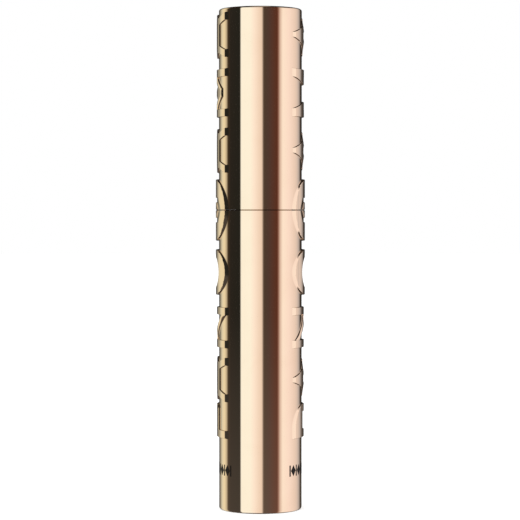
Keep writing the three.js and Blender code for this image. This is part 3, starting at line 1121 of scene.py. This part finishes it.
# %% Liner, washer, stem and brush core
liner = turned(
    "liner_moulding",
    [
        (0, 105, 0), (3.05, 105, 0.1), (3.05, 92, 0.2), (7.5, 92, 0.3), (7.5, 76.2, 0.2),
        (9.2, 76.2, 0.2), (9.2, 77.6, 0.2), (8.7, 77.9, 0.1), (8.7, 93.2, 0.3),
        (4.6, 94, 0.3), (4.6, 106, 0.2), (4.2, 106.4, 0.1), (0, 106.4, 0),
    ],
)
fit(liner, black_plastic, "cap", "black_plastic", "cap_liner")
washer = turned(
    "washer_disc",
    [(4.6, 90.9, 0), (7.25, 90.9, 0.12), (7.25, 91.7, 0.12), (4.6, 91.7, 0.12), (4.6, 90.9, 0)],
)
fit(washer, washer_foam, "washer", "washer_foam", "seal_washer")
stem = turned(
    "stem_rod",
    [
        (0, 26, 0), (0.85, 26, 0.2), (0.85, 36, 0.05), (1.9, 36, 0.15), (1.9, 91, 0.3),
        (4.4, 91.2, 0.1), (4.4, 91.95, 0.1), (3, 91.95, 0.1), (3, 103.4, 0.3),
        (2.4, 104.2, 0.2), (0, 104.2, 0),
    ],
    64,
)
fit(stem, black_plastic, "wand", "black_plastic", "wand_stem")
core = turned(
    "brush_core",
    [
        (0, 8, 0), (0.95, 8.15, 0.5), (1.3, 9.6, 1.0), (1.6, 22, 2.0), (1.75, 34, 2.0),
        (1.9, 35.95, 0.1), (0.9, 35.95, 0.05), (0.9, 25.9, 0.1), (0, 25.9, 0),
    ],
    48,
)
fit(core, brush_elastomer, "cap", "brush_elastomer", "brush")

# %% [markdown]
# The cap stops when a tab under the liner meets a lug on the shoulder ring, so that the
# ornament always lines up. Both are short blocks bent round the axis.

# %% The stop lug and the stop tab
def bent_block(name, span, radii, levels, steps=6):
    skin = Skin()
    swing = (span[1] - span[0]) / steps
    angles = [math.radians(span[0] + swing * k) for k in range(steps + 1)]
    (inner, outer), (low, high) = radii, levels
    corners = [(inner, low), (outer, low), (outer, high), (inner, high)]
    rows = [skin.row(r, z, angles) for r, z in corners]
    for k, (out, up) in enumerate([(0, -1), (1, 0), (0, 1), (-1, 0)]):
        first, second = rows[k], rows[(k + 1) % 4]
        slopes = [(out * math.sin(a), out * math.cos(a), up) for a in angles]
        for i in range(steps):
            side = [(first, i), (second, i), (second, i + 1), (first, i + 1)]
            skin.face([(row[at], slopes[at]) for row, at in side])
    for at, turn, order in ((0, -1, rows[::-1]), (-1, 1, rows)):
        along = (turn * math.cos(angles[at]), -turn * math.sin(angles[at]), 0)
        skin.face([(row[at], along) for row in order])
    return skin.build(name)


STOP_RADII = (7.72, 8.58)
stop_lug = bent_block("stop_lug", (0, 18), STOP_RADII, (75.4, 76.08))
fit(stop_lug, black_plastic, "bottle", "black_plastic")
stop_tab = bent_block("stop_tab", (-18.5, -0.5), STOP_RADII, (75.66, 76.3))
fit(stop_tab, black_plastic, "cap", "black_plastic")

# %% [markdown]
# ## Repeated details with Geometry Nodes
#
# Threads, ribs, bristles and printed marks repeat by a rule, so a node tree makes each
# one. `grown` runs a tree once on an empty object and keeps the plain mesh it gives.


# %% Helpers for Geometry Nodes
def new_tree(name, inputs):
    tree = bpy.data.node_groups.new(name, "GeometryNodeTree")
    for label, kind, value in inputs:
        socket = tree.interface.new_socket(label, in_out="INPUT", socket_type=kind)
        if value is not None:
            socket.default_value = value
    tree.interface.new_socket("Finish", in_out="INPUT", socket_type="NodeSocketMaterial")
    tree.interface.new_socket(
        "Geometry", in_out="OUTPUT", socket_type="NodeSocketGeometry"
    )
    return tree, add_node(tree, "NodeGroupInput").outputs


def end_tree(tree, geometry, finish):
    real = add_node(tree, "GeometryNodeRealizeInstances", {0: geometry}).outputs[0]
    wires = {"Geometry": real, "Material": finish}
    painted = add_node(tree, "GeometryNodeSetMaterial", wires).outputs[0]
    add_node(tree, "NodeGroupOutput", {"Geometry": painted})


def combine(tree, x=0.0, y=0.0, z=0.0):
    return add_node(tree, "ShaderNodeCombineXYZ", {"X": x, "Y": y, "Z": z}).outputs[0]


def grown(name, tree, values):
    blank = bpy.data.meshes.new(name + "_blank")
    maker = bpy.data.objects.new(name + "_maker", blank)
    modifier = maker.modifiers.new("grow", "NODES")
    modifier.node_group = tree
    for item in tree.interface.items_tree:
        if item.item_type == "SOCKET" and item.in_out == "INPUT" and item.name in values:
            modifier[item.identifier] = values[item.name]
    bpy.context.collection.objects.link(maker)
    graph = bpy.context.evaluated_depsgraph_get()
    mesh = bpy.data.meshes.new_from_object(maker.evaluated_get(graph), depsgraph=graph)
    bpy.data.objects.remove(maker)
    mesh.name = name
    piece = bpy.data.objects.new(name, mesh)
    bpy.context.collection.objects.link(piece)
    return piece


INT = "NodeSocketInt"

# %% [markdown]
# A thread is a helix with a small round section carried along it, thinning at both ends.

# %% The wound thread
thread_tree, given = new_tree(
    "wound_thread",
    [
        ("Turns", FLOAT, 2.0), ("Radius", FLOAT, 0.006), ("Lead", FLOAT, 0.0025),
        ("Start", FLOAT, 0.08), ("Ridge", FLOAT, 0.0009),
    ],
)
helix = add_node(
    thread_tree,
    "GeometryNodeCurveSpiral",
    {
        "Resolution": 64, "Rotations": given["Turns"], "Start Radius": given["Radius"],
        "End Radius": given["Radius"],
        "Height": calc(thread_tree, "MULTIPLY", given["Turns"], given["Lead"]),
    },
).outputs[0]
upright_helix = add_node(
    thread_tree, "GeometryNodeSetCurveNormal", {0: helix}, mode="Z_UP"
).outputs[0]
along = add_node(thread_tree, "GeometryNodeSplineParameter").outputs["Factor"]
from_end = calc(thread_tree, "MINIMUM", along, calc(thread_tree, "SUBTRACT", 1.0, along))
fade = calc(thread_tree, "MINIMUM", calc(thread_tree, "MULTIPLY", from_end, 14.0), 1.0)
fade = calc(thread_tree, "MAXIMUM", fade, 0.05)
faded = add_node(
    thread_tree, "GeometryNodeSetCurveRadius", {"Curve": upright_helix, "Radius": fade}
).outputs[0]
section = add_node(
    thread_tree,
    "GeometryNodeCurvePrimitiveCircle",
    {"Resolution": 10, "Radius": calc(thread_tree, "MULTIPLY", given["Ridge"], 0.5)},
    mode="RADIUS",
).outputs[0]
ridge = add_node(
    thread_tree,
    "GeometryNodeCurveToMesh",
    {"Curve": faded, "Profile Curve": section, "Fill Caps": True},
).outputs[0]
lifted_ridge = add_node(
    thread_tree,
    "GeometryNodeSetPosition",
    {"Geometry": ridge, "Offset": combine(thread_tree, z=given["Start"])},
).outputs[0]
end_tree(thread_tree, lifted_ridge, given["Finish"])

neck_thread = grown(
    "neck_thread", thread_tree,
    {"Turns": 2.0, "Radius": 0.0063, "Lead": 0.0025, "Start": 0.0795, "Ridge": 0.0011,
     "Finish": black_plastic},
)
fit(neck_thread, black_plastic, "bottle", "black_plastic")
liner_thread = grown(
    "liner_thread", thread_tree,
    {"Turns": 1.5, "Radius": 0.00762, "Lead": 0.0025, "Start": 0.08065, "Ridge": 0.001,
     "Finish": black_plastic},
)
fit(liner_thread, black_plastic, "cap", "black_plastic")

# %% [markdown]
# The liner's ribs wedge it into the shell. One rounded rib is set round the axis.

# %% The liner's ribs
rib_tree, given = new_tree(
    "grip_ribs",
    [("Count", INT, 24), ("Radius", FLOAT, 0.009), ("Low", FLOAT, 0.079), ("High", FLOAT, 0.092)],
)
tall = calc(rib_tree, "SUBTRACT", given["High"], given["Low"])
rib = add_node(
    rib_tree,
    "GeometryNodeMeshCylinder",
    {"Vertices": 10, "Radius": 0.0003, "Depth": tall},
).outputs[0]
ring = add_node(
    rib_tree,
    "GeometryNodeMeshCircle",
    {"Vertices": given["Count"], "Radius": given["Radius"]},
).outputs[0]
placed = add_node(
    rib_tree, "GeometryNodeInstanceOnPoints", {"Points": ring, "Instance": rib}
).outputs[0]
halfway = calc(
    rib_tree, "MULTIPLY", calc(rib_tree, "ADD", given["High"], given["Low"]), 0.5
)
raised_ribs = add_node(
    rib_tree,
    "GeometryNodeTranslateInstances",
    {"Instances": placed, "Translation": combine(rib_tree, z=halfway)},
).outputs[0]
end_tree(rib_tree, raised_ribs, given["Finish"])
liner_ribs = grown(
    "liner_ribs", rib_tree,
    {"Count": 24, "Radius": 0.0089, "Low": 0.0785, "High": 0.0925, "Finish": black_plastic},
)
fit(liner_ribs, black_plastic, "cap", "black_plastic")

# %% [markdown]
# ## Bristles
#
# A moulded brush has stiff tapered bristles in rings, each ring turned half a step from
# the next, so they comb in spirals. The tree counts points, works out ring and spoke from
# the index, and points one slim cone outwards at each. Every third spoke is shorter.

# %% The bristles
RINGS, SPOKES = 30, 18
bristle_tree, given = new_tree(
    "bristle_rings",
    [
        ("Rings", INT, RINGS), ("Spokes", INT, SPOKES), ("Low", FLOAT, 0.0098),
        ("Spacing", FLOAT, 0.0008), ("Reach", FLOAT, 0.0041), ("Core", FLOAT, 0.0012),
    ],
)
total = calc(bristle_tree, "MULTIPLY", given["Rings"], given["Spokes"])
points = add_node(
    bristle_tree, "GeometryNodeMeshLine", {"Count": total, "Offset": (0, 0, 0)}
).outputs[0]
index = add_node(bristle_tree, "GeometryNodeInputIndex").outputs[0]
ring_number = calc(
    bristle_tree, "FLOOR", calc(bristle_tree, "DIVIDE", index, given["Spokes"])
)
spoke_number = calc(bristle_tree, "MODULO", index, given["Spokes"])
half_step = calc(bristle_tree, "MULTIPLY", calc(bristle_tree, "MODULO", ring_number, 2.0), 0.5)
fraction = calc(
    bristle_tree,
    "DIVIDE",
    calc(bristle_tree, "ADD", spoke_number, half_step),
    given["Spokes"],
)
angle = calc(bristle_tree, "MULTIPLY", fraction, 2 * math.pi)
height = calc(
    bristle_tree,
    "ADD",
    given["Low"],
    calc(bristle_tree, "MULTIPLY", ring_number, given["Spacing"]),
)
along = calc(bristle_tree, "DIVIDE", ring_number, given["Rings"])
belly = calc(
    bristle_tree,
    "SINE",
    calc(bristle_tree, "ADD", calc(bristle_tree, "MULTIPLY", along, 2.55), 0.38),
)
belly = calc(bristle_tree, "POWER", belly, 0.8)
full = calc(
    bristle_tree, "ADD", calc(bristle_tree, "MULTIPLY", belly, 0.36), 0.64
)
short = calc(
    bristle_tree, "LESS_THAN", calc(bristle_tree, "MODULO", spoke_number, 3.0), 0.5
)
trimmed = calc(
    bristle_tree,
    "MULTIPLY",
    full,
    calc(bristle_tree, "SUBTRACT", 1.0, calc(bristle_tree, "MULTIPLY", short, 0.16)),
)
tip = calc(bristle_tree, "MULTIPLY", trimmed, given["Reach"])
length = calc(bristle_tree, "SUBTRACT", tip, given["Core"])
cosine = calc(bristle_tree, "COSINE", angle)
sine = calc(bristle_tree, "SINE", angle)
foot = combine(
    bristle_tree,
    calc(bristle_tree, "MULTIPLY", cosine, given["Core"]),
    calc(bristle_tree, "MULTIPLY", sine, given["Core"]),
    height,
)
spread_points = add_node(
    bristle_tree, "GeometryNodeSetPosition", {"Geometry": points, "Position": foot}
).outputs[0]
outward = add_node(
    bristle_tree,
    "FunctionNodeAlignRotationToVector",
    {"Vector": combine(bristle_tree, cosine, sine, 0.0)},
    axis="Z",
).outputs[0]
cone = add_node(
    bristle_tree,
    "GeometryNodeMeshCone",
    {"Vertices": 7, "Radius Top": 0.00005, "Radius Bottom": 0.00021, "Depth": 1.0},
).outputs["Mesh"]
bristles = add_node(
    bristle_tree,
    "GeometryNodeInstanceOnPoints",
    {
        "Points": spread_points, "Instance": cone, "Rotation": outward,
        "Scale": combine(bristle_tree, 1.0, 1.0, length),
    },
).outputs[0]
end_tree(bristle_tree, bristles, given["Finish"])
brush_bristles = grown(
    "brush_bristles", bristle_tree,
    {"Rings": RINGS, "Spokes": SPOKES, "Low": 0.0098, "Spacing": 0.00084,
     "Reach": 0.0041, "Core": 0.0012, "Finish": brush_elastomer},
)
fit(brush_bristles, brush_elastomer, "cap", "brush_elastomer")

# %% [markdown]
# ## Printed marks
#
# A row of small dark bars and lozenges is printed round the back, near the foot. Each is
# a thin plate, drawn flat and then wrapped on the wall by moving its points: distance
# along the row becomes angle.

# %% The printed row
mark_tree, given = new_tree(
    "printed_row",
    [
        ("Count", INT, 20), ("Pitch", FLOAT, 0.0023), ("Radius", FLOAT, 0.0105),
        ("Height", FLOAT, 0.0104), ("Tall", FLOAT, 0.0028), ("Wide", FLOAT, 0.0016),
        ("Slope", FLOAT, 1.0),
    ],
)
plate = add_node(
    mark_tree,
    "GeometryNodeMeshCube",
    {
        "Size": combine(mark_tree, given["Wide"], 0.00003, given["Tall"]),
        "Vertices X": 9, "Vertices Y": 2, "Vertices Z": 2,
    },
).outputs["Mesh"]
where = add_node(
    mark_tree,
    "ShaderNodeSeparateXYZ",
    {0: add_node(mark_tree, "GeometryNodeInputPosition").outputs[0]},
).outputs
half_wide = calc(mark_tree, "MULTIPLY", given["Wide"], 0.5)
off_middle = calc(mark_tree, "DIVIDE", calc(mark_tree, "ABSOLUTE", where["X"]), half_wide)
pinch = calc(
    mark_tree,
    "MAXIMUM",
    calc(mark_tree, "SUBTRACT", 1.0, calc(mark_tree, "MULTIPLY", off_middle, given["Slope"])),
    0.04,
)
drawn = add_node(
    mark_tree,
    "GeometryNodeSetPosition",
    {
        "Geometry": plate,
        "Position": combine(
            mark_tree, where["X"], where["Y"], calc(mark_tree, "MULTIPLY", where["Z"], pinch)
        ),
    },
).outputs[0]
first = calc(
    mark_tree,
    "MULTIPLY",
    calc(mark_tree, "MULTIPLY", calc(mark_tree, "SUBTRACT", given["Count"], 1.0), given["Pitch"]),
    -0.5,
)
row = add_node(
    mark_tree,
    "GeometryNodeMeshLine",
    {
        "Count": given["Count"],
        "Start Location": combine(mark_tree, first, 0.0, given["Height"]),
        "Offset": combine(mark_tree, given["Pitch"], 0.0, 0.0),
    },
).outputs[0]
laid = add_node(
    mark_tree, "GeometryNodeInstanceOnPoints", {"Points": row, "Instance": drawn}
).outputs[0]
loose = add_node(mark_tree, "GeometryNodeRealizeInstances", {0: laid}).outputs[0]
flat = add_node(
    mark_tree,
    "ShaderNodeSeparateXYZ",
    {0: add_node(mark_tree, "GeometryNodeInputPosition").outputs[0]},
).outputs
turn_by = calc(mark_tree, "DIVIDE", flat["X"], given["Radius"])
out_by = calc(mark_tree, "ADD", given["Radius"], flat["Y"])
wrapped = add_node(
    mark_tree,
    "GeometryNodeSetPosition",
    {
        "Geometry": loose,
        "Position": combine(
            mark_tree,
            calc(mark_tree, "MULTIPLY", calc(mark_tree, "SINE", turn_by), out_by),
            calc(mark_tree, "MULTIPLY", calc(mark_tree, "COSINE", turn_by), out_by),
            flat["Z"],
        ),
    },
).outputs[0]
end_tree(mark_tree, wrapped, given["Finish"])
for name, values in {
    "printed_lozenges": {"Count": 19, "Wide": 0.0019, "Slope": 1.0},
    "printed_bars": {"Count": 20, "Wide": 0.00045, "Slope": 0.0},
}.items():
    common = {"Pitch": 0.0026, "Height": 0.0104, "Tall": 0.0028, "Radius": 0.01051}
    made = grown(name, mark_tree, {**common, **values, "Finish": brown_ink})
    fit(made, brown_ink, "bottle", "rose_gold_plating")
